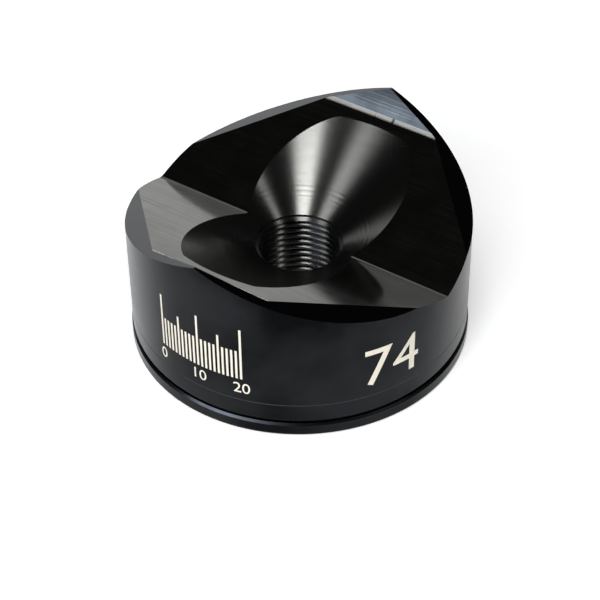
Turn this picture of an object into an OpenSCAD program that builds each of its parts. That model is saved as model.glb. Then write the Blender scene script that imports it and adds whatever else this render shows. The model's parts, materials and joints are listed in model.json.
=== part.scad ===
// Knockout punch: a round tool-steel punch with two piercing peaks, tapped for a draw stud.
// The bore runs along Z, the valley between the two halves along X, and the peaks stand at +Y and -Y.
// Lengths are in millimetres. The base rests on Z = 0.

/* [Body] */
// Cutting diameter, that of the hole it makes
cut_d = 74; // [60:0.5:100]
// Height of the sharp valley line, before its fillet
valley_h = 23.7; // [18:0.1:26]

/* [Top faces] */
// Rise of the two shear faces from the valley
shear_angle = 19.5; // [16:0.1:22]
// Fall of the two relief planes on either side of a peak
relief_angle = 20.2; // [16:0.1:26]
// Slope of the ground facet behind each peak
tip_angle = 51.5; // [44:0.5:56]
// Width of that facet seen from above, from its inner line to the rim
tip_w = 4.6; // [4:0.1:8]
// Length of the short ridge left at each peak
tip_land = 0.5; // [0.3:0.1:1.5]
// Radius of the fillet along the valley
valley_r = 3; // [1:0.1:5]
// Radius of the fillet between a shear face and its tip facet
tip_r = 2; // [0.5:0.1:3]

/* [Bore] */
// Diameter of the plain wall that stands for the draw stud's thread
thread_d = 19.05; // [12:0.05:22]
// Height at which the bore opens into the countersink
thread_h = 21.5; // [15:0.1:22]
// Included angle of the countersink
sink_angle = 118; // [110:1:124]
// Width of shear face left between the countersink and a tip facet
sink_gap = 2.2; // [0.8:0.1:4]
// Depth of the chamfer at the lower mouth of the bore
lead_in = 1; // [0.4:0.1:2]

/* [Base] */
// Height of the lip around the base
lip_h = 3.2; // [2:0.1:5]
// How far the lip stands out from the body
lip_out = 0.25; // [0.1:0.05:0.8]
// Height of the chamfer on the lip's upper edge
lip_edge = 0.45; // [0.2:0.05:0.8]
// Height of the chamfer under the lip
lip_chamfer = 0.4; // [0.2:0.1:1]
// Width of the groove above the lip
groove_w = 0.8; // [0.6:0.1:2]
// Depth of that groove, measured from the body
groove_depth = 0.5; // [0.4:0.1:1.5]
// Radius of the rounded lower edge of the body, above the groove
groove_edge_r = 0.45; // [0.2:0.05:0.5]

/* [Turned lines] */
// Height of the lower turned line around the body
low_line_h = 8.4; // [6.5:0.1:12]
// How far the upper turned line lies below the valley
high_line_drop = 1.2; // [0.5:0.1:6]
// Width of a turned line
line_w = 0.3; // [0.2:0.05:0.6]
// Depth of a turned line
line_depth = 0.06; // [0.04:0.02:0.2]

/* [Hidden] */
$fn = 180;

cut_r = cut_d / 2;
lip_r = cut_r + lip_out;
thread_r = thread_d / 2;
groove_r = cut_r - groove_depth;
groove_top = lip_h + groove_w;

// Half the turn between a shear face and its tip facet, and the run of the fillet along each
tip_half_turn = (tip_angle - shear_angle) / 2;
tip_run = tip_r * tan(tip_half_turn);

// Line where a shear face and its tip facet would meet without the fillet, and the peak above it
tip_y = cut_r - tip_w;
tip_z = valley_h + tip_y * tan(shear_angle);
facet_top = cut_r - tip_land;
peak_h = tip_z + (facet_top - tip_y) * tan(tip_angle);

// Room that every cutter has past the face it cuts
over = 2;
blank_h = peak_h + over;
reach = lip_r + over;

// Height and outer radius of the countersink's cone, which ends in an upright wall
sink_r = tip_y - sink_gap;
sink_h = (sink_r - thread_r) / tan(sink_angle / 2);

// A point moved by a length along a slope in the section plane
function along(point, length, slope) = point + length * [cos(slope), sin(slope)];

// Upright band of the section with a rounded lower edge
module rounded_band(r, low, high, edge_r) {
    inner = r - edge_r;
    round_z = low + edge_r;
    translate([0, low])
        square([inner, high - low]);
    translate([0, round_z])
        square([r, high - round_z]);
    translate([inner, round_z])
        circle(r = edge_r);
}

// Section of one turned line, cut into the body at a height
module turned_line(height) {
    translate([0, height])
        polygon([
            [cut_r + over, line_w / 2],
            [cut_r, line_w / 2],
            [cut_r - line_depth, 0],
            [cut_r, -line_w / 2],
            [cut_r + over, -line_w / 2],
        ]);
}

// Half section of the turned blank: lip, groove and body
module blank_section() {
    polygon([
        [0, 0],
        [lip_r - lip_chamfer, 0],
        [lip_r, lip_chamfer],
        [lip_r, lip_h - lip_edge],
        [lip_r - lip_edge, lip_h],
        [0, lip_h],
    ]);
    square([groove_r, blank_h]);
    difference() {
        rounded_band(cut_r, groove_top, blank_h, groove_edge_r);
        turned_line(low_line_h);
        turned_line(valley_h - high_line_drop);
    }
}

// Half section of what the mill removes above one shear face and its tip facet
module shear_half_section() {
    valley_edge = along([0, valley_h], valley_r * tan(shear_angle), shear_angle);
    corner = [tip_y, tip_z];
    fillet_start = along(corner, -tip_run, shear_angle);
    facet_end = along([facet_top, peak_h], over, tip_angle);
    top = peak_h + 2 * over;
    polygon([
        [0, valley_edge.y],
        valley_edge,
        fillet_start,
        along(corner, tip_run, tip_angle),
        facet_end,
        [reach, facet_end.y],
        [reach, top],
        [0, top],
    ]);
    translate(along(fillet_start, tip_r, shear_angle + 90))
        circle(r = tip_r);
}

// The valley with its fillet, both shear faces and both tip facets
module shear_cut() {
    rotate([90, 0, 90])
        linear_extrude(height = 2 * reach, center = true) {
            shear_half_section();
            mirror([1, 0])
                shear_half_section();
            translate([0, valley_h + valley_r / cos(shear_angle)])
                circle(r = valley_r);
        }
}

// What lies above the two relief planes that fall from the line through both peaks
module relief_cut() {
    side_z = peak_h - reach * tan(relief_angle);
    top = peak_h + 2 * over;
    rotate([90, 0, 0])
        linear_extrude(height = 2 * reach, center = true)
            polygon([
                [0, peak_h],
                [reach, side_z],
                [reach, top],
                [-reach, top],
                [-reach, side_z],
            ]);
}

// Through bore with its countersink above and its chamfer below
module bore_cut() {
    translate([0, 0, -over])
        cylinder(h = blank_h + over, r = thread_r);
    translate([0, 0, thread_h])
        cylinder(h = sink_h, r1 = thread_r, r2 = sink_r);
    translate([0, 0, thread_h + sink_h])
        cylinder(h = blank_h - thread_h - sink_h, r = sink_r);
    translate([0, 0, -over])
        cylinder(h = lead_in + over, r1 = thread_r + lead_in + over, r2 = thread_r);
}

module punch() {
    color("#2b2d30")
        difference() {
            rotate_extrude()
                blank_section();
            shear_cut();
            relief_cut();
            bore_cut();
        }
}

punch();
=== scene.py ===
"""Knockout punch: the looks of a round tool-steel punch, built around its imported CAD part.

The bore runs along Z, the valley along X, and the two peaks stand at +Y and -Y.
Lengths are in metres.
"""

import json
import math

import bmesh
import bpy
from mathutils import Matrix, Vector


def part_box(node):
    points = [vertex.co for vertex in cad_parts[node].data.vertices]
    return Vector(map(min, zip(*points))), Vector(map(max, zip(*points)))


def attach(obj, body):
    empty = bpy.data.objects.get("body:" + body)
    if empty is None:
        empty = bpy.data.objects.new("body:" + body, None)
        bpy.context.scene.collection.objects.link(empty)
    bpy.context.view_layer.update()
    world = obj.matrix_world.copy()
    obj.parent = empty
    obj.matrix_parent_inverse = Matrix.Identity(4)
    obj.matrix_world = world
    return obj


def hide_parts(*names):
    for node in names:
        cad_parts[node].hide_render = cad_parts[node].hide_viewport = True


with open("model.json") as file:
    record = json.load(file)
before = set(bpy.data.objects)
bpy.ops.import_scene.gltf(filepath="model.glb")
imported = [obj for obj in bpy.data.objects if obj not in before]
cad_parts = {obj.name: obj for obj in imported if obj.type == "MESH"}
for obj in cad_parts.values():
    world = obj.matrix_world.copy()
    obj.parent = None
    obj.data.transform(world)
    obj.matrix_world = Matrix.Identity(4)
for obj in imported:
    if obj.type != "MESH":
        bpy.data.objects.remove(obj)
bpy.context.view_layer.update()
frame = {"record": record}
PUNCH_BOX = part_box("punch")
STUD_HOLE = next(m for m in frame["record"]["mounts"] if m["name"] == "draw_stud_hole")

bl_info = {
    "name": "Knockout Punch",
    "version": (1, 0, 0),
    "blender": (4, 5, 0),
    "location": "View3D > Sidebar > Punch",
    "description": "Builds the looks of a black-oxide knockout punch and its studio",
    "category": "Object",
}

MM = 0.001
BODY = "root"
NODE = "punch"

# How finely round shapes are drawn
TURN_STEPS = 360
ARC_STEPS = 10
THREAD_STEPS = 96
CREST_STEPS = 6
# Faces larger than this are shaded exactly. Smaller ones are roundings, which blend into
# their neighbours
SHADED_AREA = 0.3 * MM**2

# Room that every cutter has past the face it cuts
OVER = 2 * MM
# Edges that turn more than this are broken, with this many flats across the break
SHARP_EDGE = math.radians(20)
EDGE_FLATS = 2

# Depth of the thread and half the width of its ridge's foot, as shares of its pitch
THREAD_DEPTH = 0.5413
THREAD_FOOT = 7 / 16
# Lean of the thread's flanks, and how far its roots reach into the wall
THREAD_FLANK = math.radians(60)
THREAD_BITE = 0.02 * MM
# Edges of the thread that turn more than this are drawn sharp
THREAD_SHARP = math.radians(25)

# How metallic the milled oxide is: its thin crust scatters a little light of its own
MILLED_METALLIC = 0.97
# How much the cone mirrors where it is seen along its slope
SINK_EDGE = (0.3, 0.3, 0.3, 1)
# A quarter turn, which draws a highlight out across the tool marks of a turned finish
ACROSS_MARKS = 0.25
# Height over which the ground facet darkens towards its peak
FACET_RISE = 4 * MM

# Edges shorter than this are slivers
SLIVER = 0.001 * MM

# Share of a font's size that its digits stand high
DIGIT_SHARE = 0.69
# Width of the columns that a flat mark is bent in, and how far it stands out from the body
MARK_COLUMN = 0.5 * MM
MARK_SKIN = 0.02 * MM
# Radii, width and depth of the tool rings on the cone
TOOL_RINGS = (15.6 * MM, 14.6 * MM, 13.5 * MM, 12.8 * MM)
TOOL_RING_WIDTH = 0.25 * MM
TOOL_RING_DEPTH = 0.009 * MM
# Length of the scale in millimetre ticks, and how often a long and a middling one comes
SCALE_TICKS = 20
LONG_EVERY = 10
MIDDLING_EVERY = 5
# Middling and short ticks, as shares of the long ones
MIDDLING_TICK = 0.78
SHORT_TICK = 0.56

# Half the floor's width, and how far it lies below the base so that the two don't touch
FLOOR_HALF = 3.0
FLOOR_DROP = 0.02 * MM
# Light of its own that the floor shows to the camera and to reflections
FLOOR_SEEN = 0.4
FLOOR_MIRRORED = 0.12

# Azimuth of the middle of the white sweep behind the punch, measured as the camera's
SWEEP = math.radians(-128)
# Cosines of the angles from its middle where the sweep begins and where it is full
SWEEP_SIDE = (0.74, 0.9)
# Sines of the elevations where the sweep begins to fade and where it ends
SWEEP_TOP = (0.22, 0.48)
# Strength of the dark surroundings beside the sweep
DARKNESS = 0.02

# Width of the camera's picture in millimetres
SENSOR_WIDTH = 36

# Settings and colour sockets of a mix of two colours, whose sockets share their names with others
COLOUR_MIX = {"data_type": "RGBA", "clamp_factor": True}
MIX_A, MIX_B, MIX_RESULT = 6, 7, 2

# Finishes of the punch, in the order of its material slots
TURNED, PAINTED_LIP_HIGHLIGHT, MILLED, RELIEVED, GROUND, HONED, COUNTERSUNK, BORED = range(8)


class PunchSizes(bpy.types.PropertyGroup):
    """Sizes of the turned and milled body"""

    cut_diameter: bpy.props.FloatProperty(
        name="Cutting diameter",
        description="Diameter of the hole that the punch makes",
        default=74 * MM,
        unit="LENGTH",
    )
    lip_radius: bpy.props.FloatProperty(
        name="Lip radius",
        description="Radius of the lip around the base",
        default=PUNCH_BOX[1].x,
        unit="LENGTH",
    )
    peak_height: bpy.props.FloatProperty(
        name="Peak height",
        description="Height of the two piercing peaks",
        default=PUNCH_BOX[1].z,
        unit="LENGTH",
    )
    valley_height: bpy.props.FloatProperty(
        name="Valley height",
        description="Height of the valley line before its fillet",
        default=23.7 * MM,
        unit="LENGTH",
    )
    shear_angle: bpy.props.FloatProperty(
        name="Shear angle",
        description="Rise of the two shear faces from the valley",
        default=math.radians(19.5),
        subtype="ANGLE",
    )
    relief_angle: bpy.props.FloatProperty(
        name="Relief angle",
        description="Fall of the relief planes beside each peak",
        default=math.radians(20.2),
        subtype="ANGLE",
    )
    tip_angle: bpy.props.FloatProperty(
        name="Tip angle",
        description="Slope of the ground facet behind each peak",
        default=math.radians(51.5),
        subtype="ANGLE",
    )
    tip_width: bpy.props.FloatProperty(
        name="Tip width",
        description="Width of the ground facet seen from above",
        default=4.6 * MM,
        unit="LENGTH",
    )
    valley_fillet: bpy.props.FloatProperty(
        name="Valley fillet",
        description="Radius of the fillet along the valley",
        default=3 * MM,
        unit="LENGTH",
    )
    tip_fillet: bpy.props.FloatProperty(
        name="Tip fillet",
        description="Radius of the fillet between a shear face and its tip facet",
        default=2 * MM,
        unit="LENGTH",
    )
    thread_radius: bpy.props.FloatProperty(
        name="Thread radius",
        description="Outer radius of the thread, at its roots in the wall",
        default=STUD_HOLE["dims"]["r_mm"] * MM,
        unit="LENGTH",
    )
    thread_height: bpy.props.FloatProperty(
        name="Thread height",
        description="Height at which the bore opens into the countersink",
        default=21.5 * MM,
        unit="LENGTH",
    )
    thread_pitch: bpy.props.FloatProperty(
        name="Thread pitch",
        description="Distance between two turns of the thread, 16 to the inch",
        default=25.4 / 16 * MM,
        unit="LENGTH",
    )
    thread_start: bpy.props.FloatProperty(
        name="Thread start",
        description="How far below the countersink the thread begins",
        default=0.6 * MM,
        unit="LENGTH",
    )
    sink_angle: bpy.props.FloatProperty(
        name="Countersink angle",
        description="Included angle of the countersink",
        default=math.radians(118),
        subtype="ANGLE",
    )
    sink_gap: bpy.props.FloatProperty(
        name="Countersink gap",
        description="Shear face left between the countersink and a tip facet",
        default=2.2 * MM,
        unit="LENGTH",
    )
    lead_in: bpy.props.FloatProperty(
        name="Lead-in",
        description="Depth of the chamfer at the lower mouth of the bore",
        default=1 * MM,
        unit="LENGTH",
    )
    lip_height: bpy.props.FloatProperty(
        name="Lip height",
        description="Height of the lip around the base",
        default=3.2 * MM,
        unit="LENGTH",
    )
    lip_edge: bpy.props.FloatProperty(
        name="Lip edge",
        description="Height of the chamfer on the lip's upper edge",
        default=0.45 * MM,
        unit="LENGTH",
    )
    lip_chamfer: bpy.props.FloatProperty(
        name="Lip chamfer",
        description="Height of the chamfer under the lip",
        default=0.4 * MM,
        unit="LENGTH",
    )
    groove_width: bpy.props.FloatProperty(
        name="Groove width",
        description="Width of the groove above the lip",
        default=0.8 * MM,
        unit="LENGTH",
    )
    groove_depth: bpy.props.FloatProperty(
        name="Groove depth",
        description="Depth of the groove, measured from the body",
        default=0.5 * MM,
        unit="LENGTH",
    )
    groove_edge: bpy.props.FloatProperty(
        name="Groove edge",
        description="Radius of the rounded lower edge of the body, above the groove",
        default=0.45 * MM,
        unit="LENGTH",
    )
    low_line: bpy.props.FloatProperty(
        name="Lower line",
        description="Height of the lower turned line around the body",
        default=8.4 * MM,
        unit="LENGTH",
    )
    high_line: bpy.props.FloatProperty(
        name="Upper line",
        description="Height of the upper turned line around the body",
        default=22.5 * MM,
        unit="LENGTH",
    )
    line_width: bpy.props.FloatProperty(
        name="Line width",
        description="Width of a turned line",
        default=0.3 * MM,
        unit="LENGTH",
    )
    low_line_depth: bpy.props.FloatProperty(
        name="Lower line depth",
        description="Depth of the lower turned line",
        default=0.06 * MM,
        unit="LENGTH",
    )
    high_line_depth: bpy.props.FloatProperty(
        name="Upper line depth",
        description="Depth of the upper turned line, which is worn almost smooth",
        default=0.015 * MM,
        unit="LENGTH",
    )
    edge_break: bpy.props.FloatProperty(
        name="Edge break",
        description="Width of the small flat that deburring leaves on a sharp edge",
        default=0.12 * MM,
        unit="LENGTH",
    )


class PunchColours(bpy.types.PropertyGroup):
    """Colours of the finishes, as sRGB hex values"""

    oxide: bpy.props.StringProperty(
        name="Black oxide",
        description="Oiled black oxide on the turned body",
        default="#292A2C",
    )
    # Painted reflection: darker tone for clouds on the turned body
    oxide_thick: bpy.props.StringProperty(
        name="Black oxide in painted dim reflections",
        description="Darker clouds on the turned body, painted dim reflections",
        default="#0F1011",
    )
    # Painted highlight: lighter colour on the lip's chamfer
    burnished: bpy.props.StringProperty(
        name="Painted lip highlight",
        description="Lighter oxide on the lip's chamfer, which paints a brighter highlight",
        default="#6A6C6F",
    )
    milled: bpy.props.StringProperty(
        name="Milled oxide",
        description="Black oxide on the milled shear faces",
        default="#5A5A58",
    )
    milled_stain: bpy.props.StringProperty(
        name="Stained milled oxide",
        description="Oily smudges on the milled shear faces",
        default="#393833",
    )
    relief: bpy.props.StringProperty(
        name="Relief oxide",
        description="Black oxide on the smooth relief planes",
        default="#424447",
    )
    ground: bpy.props.StringProperty(
        name="Ground steel",
        description="Steel where the tips were ground and the oxide is thin",
        default="#73797A",
    )
    ground_dark: bpy.props.StringProperty(
        name="Dark ground steel",
        description="Patches of the ground tips where more oxide is left",
        default="#383B3D",
    )
    honed: bpy.props.StringProperty(
        name="Honed steel",
        description="Bare steel on the honed line below each tip facet",
        default="#BEBCB5",
    )
    sink: bpy.props.StringProperty(
        name="Countersink oxide",
        description="Black oxide on the turned countersink",
        default="#6C6C6A",
    )
    thread: bpy.props.StringProperty(
        name="Thread steel",
        description="Tapped steel under a thin oxide",
        default="#6E6E6C",
    )
    mark: bpy.props.StringProperty(
        name="Mark",
        description="Pale etched and filled marks on the body",
        default="#FAF2E0",
    )
    floor: bpy.props.StringProperty(
        name="Floor",
        description="Pale floor and backdrop",
        default="#F4F4F4",
    )


class PunchMarks(bpy.types.PropertyGroup):
    """Places and sizes of the etched marks"""

    scale_angle: bpy.props.FloatProperty(
        name="Scale angle",
        description="Angle around the body of the middle of the scale",
        default=math.radians(-90.3),
        subtype="ANGLE",
    )
    scale_foot: bpy.props.FloatProperty(
        name="Scale foot",
        description="Height of the foot of the scale's ticks",
        default=14.2 * MM,
        unit="LENGTH",
    )
    scale_height: bpy.props.FloatProperty(
        name="Scale height",
        description="Length of the longest ticks",
        default=13.5 * MM,
        unit="LENGTH",
    )
    tick_width: bpy.props.FloatProperty(
        name="Tick width",
        description="Width of a tick",
        default=0.5 * MM,
        unit="LENGTH",
    )
    number_foot: bpy.props.FloatProperty(
        name="Number foot",
        description="Height of the foot of the scale's numbers",
        default=10.4 * MM,
        unit="LENGTH",
    )
    number_height: bpy.props.FloatProperty(
        name="Number height",
        description="Height of the scale's numbers",
        default=2.7 * MM,
        unit="LENGTH",
    )
    size_angle: bpy.props.FloatProperty(
        name="Size angle",
        description="Angle around the body of the middle of the size mark",
        default=math.radians(-25),
        subtype="ANGLE",
    )
    size_foot: bpy.props.FloatProperty(
        name="Size foot",
        description="Height of the foot of the size mark",
        default=11.3 * MM,
        unit="LENGTH",
    )
    size_height: bpy.props.FloatProperty(
        name="Size height",
        description="Height of the digits of the size mark",
        default=9.8 * MM,
        unit="LENGTH",
    )


class PunchCamera(bpy.types.PropertyGroup):
    """Place and lens of the camera"""

    azimuth: bpy.props.FloatProperty(
        name="Azimuth",
        description="Turn of the camera about the bore, from looking along +Y",
        default=math.radians(34.41),
        subtype="ANGLE",
    )
    elevation: bpy.props.FloatProperty(
        name="Elevation",
        description="Height of the camera above the horizon, seen from where it aims",
        default=math.radians(41.27),
        subtype="ANGLE",
    )
    distance: bpy.props.FloatProperty(
        name="Distance",
        description="Distance from the camera to where it aims",
        default=413.7 * MM,
        unit="LENGTH",
    )
    aim_height: bpy.props.FloatProperty(
        name="Aim height",
        description="Height on the bore's axis that the camera aims at",
        default=4.9 * MM,
        unit="LENGTH",
    )
    roll: bpy.props.FloatProperty(
        name="Roll",
        description="Tilt of the camera about its line of sight",
        default=math.radians(-0.68),
        subtype="ANGLE",
    )
    lens: bpy.props.FloatProperty(
        name="Focal length",
        description="Focal length for a 36 mm wide picture",
        default=112.05,
        unit="CAMERA",
    )


def linear(hex_colour):
    """Linear RGBA of an sRGB hex colour."""
    parts = [int(hex_colour[i : i + 2], 16) / 255 for i in (1, 3, 5)]
    return [c / 12.92 if c <= 0.04045 else ((c + 0.055) / 1.055) ** 2.4 for c in parts] + [1]


def per(size):
    """Scale of a pattern whose features have a size in millimetres."""
    return 1 / (size * MM)


def add_node(tree, kind, settings=None, inputs=None):
    """Adds a node. Settings are its attributes, inputs are values or links for its sockets."""
    made = tree.nodes.new(kind)
    for name, value in (settings or {}).items():
        setattr(made, name, value)
    for name, value in (inputs or {}).items():
        if isinstance(value, bpy.types.NodeSocket):
            tree.links.new(value, made.inputs[name])
        else:
            made.inputs[name].default_value = value
    return made


def new_material(name):
    """An empty node material and its node tree."""
    material = bpy.data.materials.new(name)
    material.use_nodes = True
    material.node_tree.nodes.clear()
    return material, material.node_tree


def coat(material, inputs):
    """Closes a material with its surface, whose socket values are given."""
    tree = material.node_tree
    surface = add_node(tree, "ShaderNodeBsdfPrincipled", inputs=inputs)
    add_node(tree, "ShaderNodeOutputMaterial", inputs={"Surface": surface.outputs[0]})
    return material


def streaks(tree, place, size, detail, roughness=0.5):
    """Noise whose features have a size in millimetres along X, Y and Z."""
    stretched = add_node(
        tree,
        "ShaderNodeMapping",
        inputs={"Vector": place, "Scale": [per(length) for length in size]},
    )
    noise = add_node(
        tree,
        "ShaderNodeTexNoise",
        inputs={
            "Vector": stretched.outputs[0],
            "Scale": 1,
            "Detail": detail,
            "Roughness": roughness,
        },
    )
    return noise.outputs[0]


def mesh_object(name, points, faces):
    """A mesh object in the scene from points and faces."""
    mesh = bpy.data.meshes.new(name)
    mesh.from_pydata(points, [], faces)
    mesh.validate()
    made = bpy.data.objects.new(name, mesh)
    bpy.context.scene.collection.objects.link(made)
    return made


def arc(centre, radius, start, end, steps=ARC_STEPS):
    """Points of an arc in a plane, with angles in radians."""
    turns = [start + (end - start) * i / steps for i in range(steps + 1)]
    return [(centre[0] + radius * math.cos(t), centre[1] + radius * math.sin(t)) for t in turns]


def along(point, length, slope):
    """A point moved by a length along a slope in the section plane."""
    return (point[0] + length * math.cos(slope), point[1] + length * math.sin(slope))


def lathe(name, section):
    """Turns a closed section of (radius, height, finish) points about Z.

    A finish is that of the face after its point.
    """
    count = len(section)
    points = []
    faces = []
    finishes = []
    for step in range(TURN_STEPS):
        turn = 2 * math.pi * step / TURN_STEPS
        points += [(r * math.cos(turn), r * math.sin(turn), z) for r, z, _ in section]
        here = step * count
        there = (step + 1) % TURN_STEPS * count
        for i in range(count):
            j = (i + 1) % count
            faces.append((here + i, there + i, there + j, here + j))
            finishes.append(section[i][2])
    made = mesh_object(name, points, faces)
    made.data.polygons.foreach_set("material_index", finishes)
    return made


def prism(name, outline, axis, reach):
    """Extrudes a closed outline of (place, height, finish) points both ways, along X or Y."""
    count = len(outline)
    points = []
    for side in (-reach, reach):
        points += [(side, p, z) if axis == "X" else (p, side, z) for p, z, _ in outline]
    faces = [tuple(range(count)), tuple(range(2 * count - 1, count - 1, -1))]
    finishes = [MILLED, MILLED]
    for i in range(count):
        j = (i + 1) % count
        faces.append((i, i + count, j + count, j))
        finishes.append(outline[i][2])
    made = mesh_object(name, points, faces)
    made.data.polygons.foreach_set("material_index", finishes)
    clean(made.data)
    return made


def clean(mesh):
    """Takes out the faces without area that cuts leave behind, and points all faces outwards."""
    shape = bmesh.new()
    shape.from_mesh(mesh)
    bmesh.ops.dissolve_degenerate(shape, dist=SLIVER, edges=shape.edges)
    bmesh.ops.recalc_face_normals(shape, faces=shape.faces)
    shape.to_mesh(mesh)
    shape.free()


def settle(made):
    """Bakes an object's modifiers into its mesh."""
    graph = bpy.context.evaluated_depsgraph_get()
    baked = bpy.data.meshes.new_from_object(made.evaluated_get(graph), depsgraph=graph)
    baked.name = made.name
    old = made.data
    clean(baked)
    made.modifiers.clear()
    made.data = baked
    bpy.data.meshes.remove(old)


def true_normals(mesh):
    """Shades each large face as the cone, cylinder or plane that it is part of."""
    normals = [corner.vector.copy() for corner in mesh.corner_normals]
    for face in mesh.polygons:
        if face.area < SHADED_AREA:
            continue
        turned = face.material_index in (TURNED, PAINTED_LIP_HIGHLIGHT, COUNTERSUNK, BORED)
        outward = Vector((face.center.x, face.center.y, 0)).normalized()
        lean = face.normal.dot(outward)
        for corner in face.loop_indices:
            if turned:
                place = mesh.vertices[mesh.loops[corner].vertex_index].co
                ring = Vector((place.x, place.y, 0)).normalized()
                normals[corner] = ring * lean + Vector((0, 0, face.normal.z))
            else:
                normals[corner] = face.normal.copy()
    mesh.normals_split_custom_set(normals)


def blank_section(sizes):
    """Closed section of the turned blank, with its bore and countersink."""
    cut_r = sizes.cut_diameter / 2
    groove_r = cut_r - sizes.groove_depth
    groove_top = sizes.lip_height + sizes.groove_width
    edge = sizes.groove_edge
    sink_r = cut_r - sizes.tip_width - sizes.sink_gap
    sink_depth = (sink_r - sizes.thread_radius) / math.tan(sizes.sink_angle / 2)
    sink_top = sizes.thread_height + sink_depth
    top = sizes.peak_height + OVER
    body_edge = arc((cut_r - edge, groove_top + edge), edge, -math.pi / 2, 0)
    section = [
        (sizes.thread_radius + sizes.lead_in, 0, TURNED),
        (sizes.lip_radius - sizes.lip_chamfer, 0, TURNED),
        (sizes.lip_radius, sizes.lip_chamfer, TURNED),
        # The lip's chamfer takes a lighter finish, a painted highlight
        (sizes.lip_radius, sizes.lip_height - sizes.lip_edge, PAINTED_LIP_HIGHLIGHT),
        (sizes.lip_radius - sizes.lip_edge, sizes.lip_height, TURNED),
        (groove_r, sizes.lip_height, TURNED),
        (groove_r, groove_top, TURNED),
        *[(r, z, TURNED) for r, z in body_edge],
    ]
    lines = (
        (sizes.low_line, sizes.low_line_depth, RELIEVED),
        (sizes.high_line, sizes.high_line_depth, TURNED),
    )
    for height, depth, finish in lines:
        section += [
            (cut_r, height - sizes.line_width / 2, finish),
            (cut_r - depth, height, finish),
            (cut_r, height + sizes.line_width / 2, TURNED),
        ]
    section.append((cut_r, top, TURNED))
    section += [(sink_r, top, COUNTERSUNK), (sink_r, sink_top, COUNTERSUNK)]
    # Shallow rings that the tool left as it slowed down towards the bore
    lean = math.pi / 2 - sizes.sink_angle / 2
    for ring_r in TOOL_RINGS:
        ring = (ring_r, sizes.thread_height + (ring_r - sizes.thread_radius) * math.tan(lean))
        for step, depth in ((1, 0), (0, TOOL_RING_DEPTH), (-1, 0)):
            side = along(ring, step * TOOL_RING_WIDTH / 2, lean)
            section.append((*along(side, depth, lean - math.pi / 2), COUNTERSUNK))
    section += [
        (sizes.thread_radius, sizes.thread_height, BORED),
        (sizes.thread_radius, sizes.lead_in, BORED),
    ]
    return section


def shear_outline(sizes):
    """Outline of what the mill removes above the valley, both shear faces and both tip facets."""
    shear = sizes.shear_angle
    cut_r = sizes.cut_diameter / 2
    tip_y = cut_r - sizes.tip_width
    corner = (tip_y, sizes.valley_height + tip_y * math.tan(shear))
    tip_run = sizes.tip_fillet * math.tan((sizes.tip_angle - shear) / 2)
    valley_mid = (0, sizes.valley_height + sizes.valley_fillet / math.cos(shear))
    quarter = math.pi / 2
    tip_mid = along(along(corner, -tip_run, shear), sizes.tip_fillet, shear + quarter)
    valley = arc(valley_mid, sizes.valley_fillet, -quarter, shear - quarter)
    tip = arc(tip_mid, sizes.tip_fillet, shear - quarter, sizes.tip_angle - quarter)
    half = [(y, z, MILLED) for y, z in valley]
    half += [(y, z, HONED) for y, z in tip[:-1]] + [(*tip[-1], GROUND)]
    rise = (sizes.peak_height - tip[-1][1]) / math.sin(sizes.tip_angle) + OVER
    facet_end = along(tip[-1], rise, sizes.tip_angle)
    reach = sizes.lip_radius + OVER
    half += [
        (*facet_end, MILLED),
        (reach, facet_end[1], MILLED),
        (reach, sizes.peak_height + 2 * OVER, MILLED),
    ]
    # On the mirrored half the order is reversed, so each face's finish sits on its other end
    mirrored = []
    for i in range(len(half) - 1, 0, -1):
        mirrored.append((-half[i][0], half[i][1], half[i - 1][2]))
    return mirrored + half


def relief_outline(sizes):
    """Outline of what lies above the two relief planes."""
    reach = sizes.lip_radius + OVER
    top = sizes.peak_height + 2 * OVER
    side = sizes.peak_height - reach * math.tan(sizes.relief_angle)
    outline = [(-reach, side), (0, sizes.peak_height), (reach, side), (reach, top), (-reach, top)]
    return [(x, z, RELIEVED) for x, z in outline]


def turned_oxide(colours):
    """Black oxide on turned steel, oiled: deep black that mirrors light at the edges, with darker
    clouds painted in as dim reflections.
    """
    material, tree = new_material("black oxide, turned and oiled")
    place = add_node(tree, "ShaderNodeTexCoord").outputs["Object"]
    # Faint rings of the turning tool, a quarter of a millimetre apart
    ring_noise = streaks(tree, place, (30, 30, 0.25), 2)
    # Clouds of about 20 mm: they vary the roughness, and in the colour the darker clouds are
    # painted dim reflections of the surroundings
    film = add_node(
        tree, "ShaderNodeTexNoise", inputs={"Vector": place, "Scale": per(20), "Detail": 4}
    )
    painted_reflection_clouds = add_node(
        tree,
        "ShaderNodeMapRange",
        inputs={"Value": film.outputs[0], "From Min": 0.35, "From Max": 0.65},
    )
    # Painted reflection: the body's colour darkens to the dim tone in the clouds
    tone = add_node(
        tree,
        "ShaderNodeMix",
        settings=COLOUR_MIX,
        inputs={
            "Factor": painted_reflection_clouds.outputs[0],
            MIX_A: linear(colours.oxide_thick),
            MIX_B: linear(colours.oxide),
        },
    )
    gloss = add_node(
        tree,
        "ShaderNodeMapRange",
        inputs={
            "Value": film.outputs[0],
            "From Min": 0.3,
            "From Max": 0.7,
            "To Min": 0.16,
            "To Max": 0.26,
        },
    )
    bump = add_node(
        tree,
        "ShaderNodeBump",
        inputs={"Height": ring_noise, "Strength": 0.05, "Distance": 0.02 * MM},
    )
    return coat(
        material,
        {
            "Base Color": tone.outputs[MIX_RESULT],
            "Metallic": 1,
            "Roughness": gloss.outputs[0],
            "Normal": bump.outputs[0],
        },
    )


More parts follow.
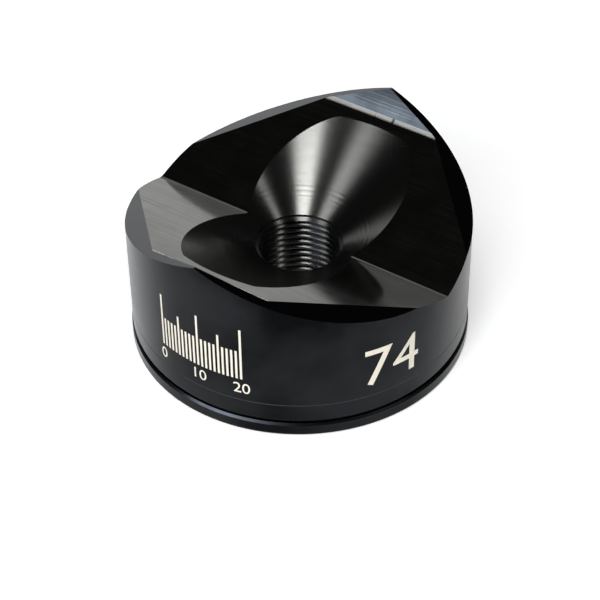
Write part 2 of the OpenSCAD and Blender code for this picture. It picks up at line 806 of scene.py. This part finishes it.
def burnished_oxide(colours):
    """Lighter oxide on the lip's chamfer, which makes the lamps' highlight on it brighter: a
    painted highlight.
    """
    material, tree = new_material("black oxide, painted lip highlight")
    place = add_node(tree, "ShaderNodeTexCoord").outputs["Object"]
    # Patches about 5 mm long, where the lighter colour of the painted highlight shows
    highlight_patches = add_node(
        tree, "ShaderNodeTexNoise", inputs={"Vector": place, "Scale": per(5), "Detail": 4}
    )
    tone = add_node(
        tree,
        "ShaderNodeMix",
        settings=COLOUR_MIX,
        inputs={
            "Factor": highlight_patches.outputs[0],
            MIX_A: linear(colours.oxide),
            MIX_B: linear(colours.burnished),
        },
    )
    return coat(
        material,
        {"Base Color": tone.outputs[MIX_RESULT], "Metallic": 1, "Roughness": 0.25},
    )


def milled_oxide(colours):
    """Black oxide on finely milled faces: nearly mirror-black, with smudges and cutter marks."""
    material, tree = new_material("black oxide, milled")
    place = add_node(tree, "ShaderNodeTexCoord").outputs["Object"]
    # Cutter marks, long along X. Real ones are too fine to show, so these lie half a millimetre
    # apart
    mark_noise = streaks(tree, place, (20, 0.5, 0.5), 3)
    # Smudges of oil and fingers, about 6 mm across
    smudges = add_node(
        tree, "ShaderNodeTexNoise", inputs={"Vector": place, "Scale": per(6.25), "Detail": 5}
    )
    wiped = add_node(
        tree,
        "ShaderNodeMapRange",
        inputs={"Value": smudges.outputs[0], "From Min": 0.35, "From Max": 0.65, "To Min": 0.4},
    )
    brushed = add_node(
        tree,
        "ShaderNodeMapRange",
        inputs={
            "Value": mark_noise,
            "From Min": 0.3,
            "From Max": 0.7,
            "To Min": 0.2,
            "To Max": wiped.outputs[0],
        },
    )
    tone = add_node(
        tree,
        "ShaderNodeMix",
        settings=COLOUR_MIX,
        inputs={
            "Factor": brushed.outputs[0],
            MIX_A: linear(colours.milled_stain),
            MIX_B: linear(colours.milled),
        },
    )
    gloss = add_node(
        tree,
        "ShaderNodeMapRange",
        inputs={
            "Value": smudges.outputs[0],
            "From Min": 0.35,
            "From Max": 0.7,
            "To Min": 0.09,
            "To Max": 0.13,
        },
    )
    bump = add_node(
        tree,
        "ShaderNodeBump",
        inputs={"Height": mark_noise, "Strength": 0.25, "Distance": 0.01 * MM},
    )
    return coat(
        material,
        {
            "Base Color": tone.outputs[MIX_RESULT],
            "Metallic": MILLED_METALLIC,
            "Roughness": gloss.outputs[0],
            "Normal": bump.outputs[0],
        },
    )


def relieved_oxide(colours):
    """Black oxide on smooth relief planes: glossy, and as dark or light as what it mirrors."""
    material, tree = new_material("black oxide, smooth relief")
    place = add_node(tree, "ShaderNodeTexCoord").outputs["Object"]
    # Oil film in patches of about 5 mm
    film = add_node(
        tree, "ShaderNodeTexNoise", inputs={"Vector": place, "Scale": per(5), "Detail": 5}
    )
    gloss = add_node(
        tree,
        "ShaderNodeMapRange",
        inputs={
            "Value": film.outputs[0],
            "From Min": 0.3,
            "From Max": 0.7,
            "To Min": 0.06,
            "To Max": 0.14,
        },
    )
    return coat(
        material,
        {"Base Color": linear(colours.relief), "Metallic": 1, "Roughness": gloss.outputs[0]},
    )


def ground_steel(colours, peak):
    """Tool steel ground after blackening: bluish grey, brushed along the tip line."""
    material, tree = new_material("tool steel, ground")
    place = add_node(tree, "ShaderNodeTexCoord").outputs["Object"]
    # Grinding scratches, long along X. Real ones are too fine to show, so these lie a third of a
    # millimetre apart
    mark_noise = streaks(tree, place, (16, 0.33, 0.33), 4)
    # Patches where the wheel dwelt, about 5 mm across
    patches = add_node(
        tree, "ShaderNodeTexNoise", inputs={"Vector": place, "Scale": per(5.25), "Detail": 2}
    )
    dwell = add_node(
        tree,
        "ShaderNodeMapRange",
        inputs={"Value": patches.outputs[0], "From Min": 0.35, "From Max": 0.65, "To Min": 0.55},
    )
    # The facet is drawn darker towards its peak
    height = add_node(tree, "ShaderNodeSeparateXYZ", inputs={"Vector": place})
    towards_peak = add_node(
        tree,
        "ShaderNodeMapRange",
        inputs={
            "Value": height.outputs["Z"],
            "From Min": peak,
            "From Max": peak - FACET_RISE,
            "To Max": dwell.outputs[0],
        },
    )
    tone = add_node(
        tree,
        "ShaderNodeMix",
        settings=COLOUR_MIX,
        inputs={
            "Factor": towards_peak.outputs[0],
            MIX_A: linear(colours.ground_dark),
            MIX_B: linear(colours.ground),
        },
    )
    gloss = add_node(
        tree,
        "ShaderNodeMapRange",
        inputs={
            "Value": mark_noise,
            "From Min": 0.3,
            "From Max": 0.7,
            "To Min": 0.25,
            "To Max": 0.45,
        },
    )
    bump = add_node(
        tree,
        "ShaderNodeBump",
        inputs={"Height": mark_noise, "Strength": 0.15, "Distance": 0.02 * MM},
    )
    return coat(
        material,
        {
            "Base Color": tone.outputs[MIX_RESULT],
            "Metallic": 1,
            "Roughness": gloss.outputs[0],
            "Normal": bump.outputs[0],
        },
    )


def honed_steel(colours):
    """Tool steel honed bare: a bright line below the ground facet, broken by a few nicks."""
    material, tree = new_material("tool steel, honed")
    place = add_node(tree, "ShaderNodeTexCoord").outputs["Object"]
    # Nicks across the line, about 4 mm apart and half a millimetre wide
    nicks = streaks(tree, place, (2, 16.5, 16.5), 2)
    sound = add_node(
        tree, "ShaderNodeMapRange", inputs={"Value": nicks, "From Min": 0.33, "From Max": 0.42}
    )
    tone = add_node(
        tree,
        "ShaderNodeMix",
        settings=COLOUR_MIX,
        inputs={
            "Factor": sound.outputs[0],
            MIX_A: linear(colours.ground_dark),
            MIX_B: linear(colours.honed),
        },
    )
    return coat(
        material,
        {"Base Color": tone.outputs[MIX_RESULT], "Metallic": 1, "Roughness": 0.36},
    )


def countersunk_oxide(colours):
    """Black oxide on a turned cone: its tool marks draw each light into a streak down the slope."""
    material, tree = new_material("black oxide, turned cone")
    place = add_node(tree, "ShaderNodeTexCoord").outputs["Object"]
    tangent = add_node(
        tree, "ShaderNodeTangent", settings={"direction_type": "RADIAL", "axis": "Z"}
    )
    # Uneven tool rings, by height on the cone. Real ones are too fine to show, so these lie about
    # a millimetre apart, with finer ones between
    ring_noise = streaks(tree, place, (65, 65, 1), 3, 0.6)
    # Specks and smudges in the oxide, about 1 mm across
    specks = add_node(
        tree, "ShaderNodeTexNoise", inputs={"Vector": place, "Scale": per(1.1), "Detail": 6}
    )
    gloss = add_node(
        tree,
        "ShaderNodeMapRange",
        inputs={
            "Value": specks.outputs[0],
            "From Min": 0.3,
            "From Max": 0.7,
            "To Min": 0.19,
            "To Max": 0.22,
        },
    )
    bump = add_node(
        tree,
        "ShaderNodeBump",
        inputs={"Height": ring_noise, "Strength": 0.5, "Distance": 0.02 * MM},
    )
    return coat(
        material,
        {
            "Base Color": linear(colours.sink),
            "Metallic": 1,
            "Specular Tint": SINK_EDGE,
            "Roughness": gloss.outputs[0],
            "Anisotropic": 0.6,
            "Anisotropic Rotation": ACROSS_MARKS,
            "Tangent": tangent.outputs[0],
            "Normal": bump.outputs[0],
        },
    )


def tapped_steel(colours):
    """Tapped steel under a thin oxide: its turns show each light as a column of short bars."""
    material, tree = new_material("tool steel, tapped")
    place = add_node(tree, "ShaderNodeTexCoord").outputs["Object"]
    tangent = add_node(
        tree, "ShaderNodeTangent", settings={"direction_type": "RADIAL", "axis": "Z"}
    )
    # Smears of the tap, about 3 mm across
    smears = add_node(
        tree, "ShaderNodeTexNoise", inputs={"Vector": place, "Scale": per(3.3), "Detail": 2}
    )
    gloss = add_node(
        tree,
        "ShaderNodeMapRange",
        inputs={
            "Value": smears.outputs[0],
            "From Min": 0.3,
            "From Max": 0.7,
            "To Min": 0.25,
            "To Max": 0.29,
        },
    )
    return coat(
        material,
        {
            "Base Color": linear(colours.thread),
            "Metallic": 1,
            "Roughness": gloss.outputs[0],
            "Anisotropic": 0.9,
            "Anisotropic Rotation": ACROSS_MARKS,
            "Tangent": tangent.outputs[0],
        },
    )


def etched_mark(colours):
    """Pale fill in shallow etching: ivory and matt, a little uneven where the fill is thin."""
    material, tree = new_material("etching, ivory fill")
    place = add_node(tree, "ShaderNodeTexCoord").outputs["Object"]
    # Thin spots in the fill, about half a millimetre across
    fill = add_node(
        tree, "ShaderNodeTexNoise", inputs={"Vector": place, "Scale": per(0.5), "Detail": 3}
    )
    thin = add_node(
        tree,
        "ShaderNodeMapRange",
        inputs={
            "Value": fill.outputs[0],
            "From Min": 0.3,
            "From Max": 0.7,
            "To Min": 0.5,
            "To Max": 0.7,
        },
    )
    return coat(
        material,
        {
            "Base Color": linear(colours.mark),
            "Roughness": thin.outputs[0],
            "Specular IOR Level": 0.3,
        },
    )


class PUNCH_OT_body(bpy.types.Operator):
    """Turn the blank, mill its top and break its edges"""

    bl_idname = "punch.body"
    bl_label = "Punch body"

    def execute(self, context):
        sizes = context.scene.punch_sizes
        colours = context.scene.punch_colours
        reach = sizes.lip_radius + OVER
        body = lathe("punch_body", blank_section(sizes))
        cutters = [
            prism("shear_cutter", shear_outline(sizes), "X", reach),
            prism("relief_cutter", relief_outline(sizes), "Y", reach),
        ]
        finishes = [
            turned_oxide(colours),
            burnished_oxide(colours),
            milled_oxide(colours),
            relieved_oxide(colours),
            ground_steel(colours, sizes.peak_height),
            honed_steel(colours),
            countersunk_oxide(colours),
            tapped_steel(colours),
        ]
        for made in [body, *cutters]:
            for finish in finishes:
                made.data.materials.append(finish)
        for cutter in cutters:
            cut = body.modifiers.new(cutter.name, "BOOLEAN")
            cut.operation = "DIFFERENCE"
            cut.solver = "EXACT"
            cut.object = cutter
        settle(body)
        for cutter in cutters:
            bpy.data.objects.remove(cutter)
        body.data.shade_smooth()
        body.data.set_sharp_from_angle(angle=SHARP_EDGE)
        edges = body.modifiers.new("broken edges", "BEVEL")
        edges.width = sizes.edge_break
        edges.segments = EDGE_FLATS
        edges.limit_method = "ANGLE"
        edges.angle_limit = SHARP_EDGE
        edges.use_clamp_overlap = True
        settle(body)
        true_normals(body.data)
        if len(body.data.polygons) < TURN_STEPS:
            raise RuntimeError("the cuts left no body")
        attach(body, BODY)
        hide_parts(NODE)
        return {"FINISHED"}


class PUNCH_OT_thread(bpy.types.Operator):
    """Wind the thread's ridge around the wall of the bore"""

    bl_idname = "punch.thread"
    bl_label = "Thread"

    def execute(self, context):
        sizes = context.scene.punch_sizes
        pitch = sizes.thread_pitch
        root_r = sizes.thread_radius + THREAD_BITE
        crest_r = sizes.thread_radius - THREAD_DEPTH * pitch
        # Leaning flanks with a narrow flat at the root and a rounded crest between them
        root_z = pitch * THREAD_FOOT
        crest_round = root_z * math.tan(THREAD_FLANK) - (root_r - crest_r)
        low_side, high_side = math.pi + THREAD_FLANK, math.pi - THREAD_FLANK
        crest = arc((crest_r + crest_round, 0), crest_round, low_side, high_side, CREST_STEPS)
        section = [(root_r, -root_z), *crest, (root_r, root_z)]
        slope = math.tan(sizes.sink_angle / 2)
        turns = (sizes.thread_height - sizes.lead_in) / pitch
        steps = round(turns * THREAD_STEPS)
        points = []
        for step in range(steps + 1):
            turn = 2 * math.pi * step / THREAD_STEPS
            middle = sizes.lead_in + pitch * step / THREAD_STEPS
            for r, rise in section:
                depth = sizes.thread_radius - r
                top = sizes.thread_height - sizes.thread_start - depth / slope
                low = sizes.lead_in + depth
                z = min(max(middle + rise, low), top)
                points.append((r * math.cos(turn), r * math.sin(turn), z))
        count = len(section)
        last = steps * count
        faces = [tuple(range(count)), tuple(range(last + count - 1, last - 1, -1))]
        for step in range(steps):
            here = step * count
            for i in range(count):
                j = (i + 1) % count
                faces.append((here + i, here + count + i, here + count + j, here + j))
        thread = mesh_object("punch_thread", points, faces)
        clean(thread.data)
        thread.data.shade_smooth()
        thread.data.set_sharp_from_angle(angle=THREAD_SHARP)
        thread.data.materials.append(tapped_steel(context.scene.punch_colours))
        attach(thread, BODY)
        return {"FINISHED"}


def flat_number(words, height, middle):
    """A mesh of plain digits, laid flat with its foot on the X axis and its middle along it."""
    curve = bpy.data.curves.new("digits", "FONT")
    curve.body = words
    curve.align_x = "CENTER"
    curve.size = height / DIGIT_SHARE
    made = bpy.data.objects.new("digits", curve)
    bpy.context.scene.collection.objects.link(made)
    graph = bpy.context.evaluated_depsgraph_get()
    mesh = bpy.data.meshes.new_from_object(made.evaluated_get(graph), depsgraph=graph)
    mesh.transform(Matrix.Translation((middle, 0, 0)))
    bpy.data.objects.remove(made)
    bpy.data.curves.remove(curve)
    return mesh


def wrap_mark(name, shape, radius, middle, foot, finish):
    """Bends a flat mark around the body as a thin skin, given its middle angle and its foot."""
    places = [vertex.co.x for vertex in shape.verts]
    column = min(places)
    while column < max(places):
        column += MARK_COLUMN
        bmesh.ops.bisect_plane(
            shape,
            geom=[*shape.verts, *shape.edges, *shape.faces],
            plane_co=(column, 0, 0),
            plane_no=(1, 0, 0),
        )
    for vertex in shape.verts:
        turn = middle + vertex.co.x / radius
        vertex.co = (radius * math.cos(turn), radius * math.sin(turn), foot + vertex.co.y)
    mark = mesh_object(name, [], [])
    bmesh.ops.recalc_face_normals(shape, faces=shape.faces)
    shape.to_mesh(mark.data)
    shape.free()
    skin = mark.modifiers.new("skin", "SOLIDIFY")
    skin.thickness = 2 * MARK_SKIN
    skin.offset = 0
    settle(mark)
    mark.data.materials.append(finish)
    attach(mark, BODY)


class PUNCH_OT_marks(bpy.types.Operator):
    """Etch a short millimetre scale and the cutting diameter into the body"""

    bl_idname = "punch.marks"
    bl_label = "Etched marks"

    def execute(self, context):
        marks = context.scene.punch_marks
        radius = context.scene.punch_sizes.cut_diameter / 2
        finish = etched_mark(context.scene.punch_colours)
        scale = bmesh.new()
        span = SCALE_TICKS * MM
        for tick in range(SCALE_TICKS + 1):
            share = SHORT_TICK
            if tick % LONG_EVERY == 0:
                share = 1
            elif tick % MIDDLING_EVERY == 0:
                share = MIDDLING_TICK
            place = tick * MM - span / 2
            left, right = place - marks.tick_width / 2, place + marks.tick_width / 2
            top = marks.scale_height * share
            corners = [(left, 0), (right, 0), (right, top), (left, top)]
            scale.faces.new([scale.verts.new((x, y, 0)) for x, y in corners])
        wrap_mark("scale_ticks", scale, radius, marks.scale_angle, marks.scale_foot, finish)
        numbers = bmesh.new()
        for tick in range(0, SCALE_TICKS + 1, LONG_EVERY):
            place = tick * MM - span / 2
            numbers.from_mesh(flat_number(str(tick), marks.number_height, place))
        wrap_mark("scale_numbers", numbers, radius, marks.scale_angle, marks.number_foot, finish)
        size = bmesh.new()
        size.from_mesh(flat_number(f"{2 * radius / MM:.0f}", marks.size_height, 0))
        wrap_mark("size_mark", size, radius, marks.size_angle, marks.size_foot, finish)
        return {"FINISHED"}


class PUNCH_OT_stage(bpy.types.Operator):
    """Set up the floor, the light and the camera"""

    bl_idname = "punch.stage"
    bl_label = "Studio"

    def execute(self, context):
        scene = context.scene
        scene.view_settings.view_transform = "Standard"
        half = FLOOR_HALF
        corners = [(-half, -half, 0), (half, -half, 0), (half, half, 0), (-half, half, 0)]
        floor = mesh_object("floor", corners, [(0, 1, 2, 3)])
        floor.location.z = -FLOOR_DROP
        floor.data.materials.append(pale_floor(scene.punch_colours))
        studio_world(scene)
        add_lights(scene)
        add_camera(scene, scene.punch_camera)
        return {"FINISHED"}


def pale_floor(colours):
    """Matt pale board: white to the camera and darker in reflections, and it keeps the shadow."""
    material, tree = new_material("pale board, matt")
    light_path = add_node(tree, "ShaderNodeLightPath")
    mirrored = add_node(
        tree,
        "ShaderNodeMath",
        settings={"operation": "MULTIPLY"},
        inputs={0: light_path.outputs["Is Glossy Ray"], 1: FLOOR_MIRRORED},
    )
    seen = add_node(
        tree,
        "ShaderNodeMath",
        settings={"operation": "MULTIPLY_ADD"},
        inputs={0: light_path.outputs["Is Camera Ray"], 1: FLOOR_SEEN, 2: mirrored.outputs[0]},
    )
    return coat(
        material,
        {
            "Base Color": linear(colours.floor),
            "Roughness": 0.9,
            "Specular IOR Level": 0.1,
            "Emission Color": linear(colours.floor),
            "Emission Strength": seen.outputs[0],
        },
    )


def studio_world(scene):
    """White to the camera. In reflections, a white sweep behind the punch, and dark elsewhere."""
    world = bpy.data.worlds.new("studio")
    scene.world = world
    world.use_nodes = True
    tree = world.node_tree
    tree.nodes.clear()
    place = add_node(tree, "ShaderNodeTexCoord").outputs["Generated"]
    split = add_node(tree, "ShaderNodeSeparateXYZ", inputs={"Vector": place})
    # How far a direction points to the sweep, which hangs behind the punch on its left
    towards = add_node(
        tree,
        "ShaderNodeVectorMath",
        settings={"operation": "DOT_PRODUCT"},
        inputs={0: place, 1: (math.sin(SWEEP), -math.cos(SWEEP), 0)},
    )
    sweep = add_node(
        tree,
        "ShaderNodeMapRange",
        settings={"interpolation_type": "SMOOTHSTEP"},
        inputs={
            "Value": towards.outputs["Value"],
            "From Min": SWEEP_SIDE[0],
            "From Max": SWEEP_SIDE[1],
            "To Min": DARKNESS,
        },
    )
    ceiling = add_node(
        tree,
        "ShaderNodeMapRange",
        settings={"interpolation_type": "SMOOTHSTEP"},
        inputs={
            "Value": split.outputs["Z"],
            "From Min": SWEEP_TOP[0],
            "From Max": SWEEP_TOP[1],
            "To Min": sweep.outputs[0],
            "To Max": DARKNESS,
        },
    )
    light_path = add_node(tree, "ShaderNodeLightPath")
    strength = add_node(
        tree,
        "ShaderNodeMath",
        settings={"operation": "MAXIMUM"},
        inputs={0: light_path.outputs["Is Camera Ray"], 1: ceiling.outputs[0]},
    )
    background = add_node(
        tree,
        "ShaderNodeBackground",
        inputs={"Color": (1, 1, 1, 1), "Strength": strength.outputs[0]},
    )
    add_node(tree, "ShaderNodeOutputWorld", inputs={"Surface": background.outputs[0]})


def add_lights(scene):
    """Soft panels around the punch, whose azimuths are measured as the camera's."""
    panels = [
        # name, azimuth, elevation, distance, width, upright length, watts, colour, and whether
        # reflections show it
        ("key light overhead", 11, 74, 1.0, 0.22, 0.34, 2, "#FFFFFF", True),
        ("strip on the left", -56, 60, 1.1, 0.2, 0.3, 0.56, "#FFFFFF", True),
        ("strip behind right", 121, 65, 1.1, 0.13, 0.13, 0.125, "#FFFFFF", True),
        ("low strip on the right", 98, 50, 1.1, 0.13, 0.2, 0.6, "#FFFFFF", True),
        ("strip at the back", -153, 31, 1.2, 0.6, 0.3, 0.6, "#FFFFFF", True),
        ("low panel at the back", -154, 6.5, 1.5, 0.45, 0.3, 0.26, "#FFFFFF", True),
        ("softbox front left", -12, 33, 1.2, 0.9, 0.4, 4.4, "#E6EEFF", True),
        ("fill in front", 30, 45, 1.5, 1.2, 1.2, 16, "#FFFFFF", False),
    ]
    for name, azimuth, elevation, distance, width, length, watts, colour, mirrored in panels:
        data = bpy.data.lights.new(name, "AREA")
        data.shape = "RECTANGLE"
        data.size = width
        data.size_y = length
        data.energy = watts
        data.color = linear(colour)[:3]
        lamp = bpy.data.objects.new(name, data)
        lamp.visible_glossy = mirrored
        tilt = Matrix.Rotation(math.radians(90 - elevation), 4, "X")
        turn = Matrix.Rotation(math.radians(azimuth), 4, "Z")
        lamp.matrix_world = turn @ tilt @ Matrix.Translation((0, 0, distance))
        scene.collection.objects.link(lamp)


def add_camera(scene, view):
    """The camera, aimed at a point on the bore's axis."""
    data = bpy.data.cameras.new("camera")
    data.sensor_width = SENSOR_WIDTH
    data.lens = view.lens
    camera = bpy.data.objects.new("camera", data)
    tilt = Matrix.Rotation(math.pi / 2 - view.elevation, 4, "X")
    turn = Matrix.Rotation(view.azimuth, 4, "Z")
    aim = Matrix.Translation((0, 0, view.aim_height))
    back = Matrix.Translation((0, 0, view.distance))
    camera.matrix_world = aim @ turn @ tilt @ back @ Matrix.Rotation(view.roll, 4, "Z")
    scene.collection.objects.link(camera)
    scene.camera = camera


class PUNCH_PT_sidebar(bpy.types.Panel):
    """Lists the steps that build the punch"""

    bl_idname = "PUNCH_PT_sidebar"
    bl_label = "Knockout Punch"
    bl_space_type = "VIEW_3D"
    bl_region_type = "UI"
    bl_category = "Punch"

    def draw(self, context):
        for step in STEPS:
            self.layout.operator(step.bl_idname)


GROUPS = {
    "punch_sizes": PunchSizes,
    "punch_colours": PunchColours,
    "punch_marks": PunchMarks,
    "punch_camera": PunchCamera,
}
STEPS = (PUNCH_OT_body, PUNCH_OT_thread, PUNCH_OT_marks, PUNCH_OT_stage)


def register():
    for made in (*GROUPS.values(), *STEPS, PUNCH_PT_sidebar):
        bpy.utils.register_class(made)
    for name, group in GROUPS.items():
        setattr(bpy.types.Scene, name, bpy.props.PointerProperty(type=group))


def unregister():
    for name in GROUPS:
        delattr(bpy.types.Scene, name)
    for made in (PUNCH_PT_sidebar, *reversed(STEPS), *GROUPS.values()):
        bpy.utils.unregister_class(made)


def main():
    register()
    bpy.ops.punch.body()
    bpy.ops.punch.thread()
    bpy.ops.punch.marks()
    bpy.ops.punch.stage()


if __name__ == "__main__":
    main()
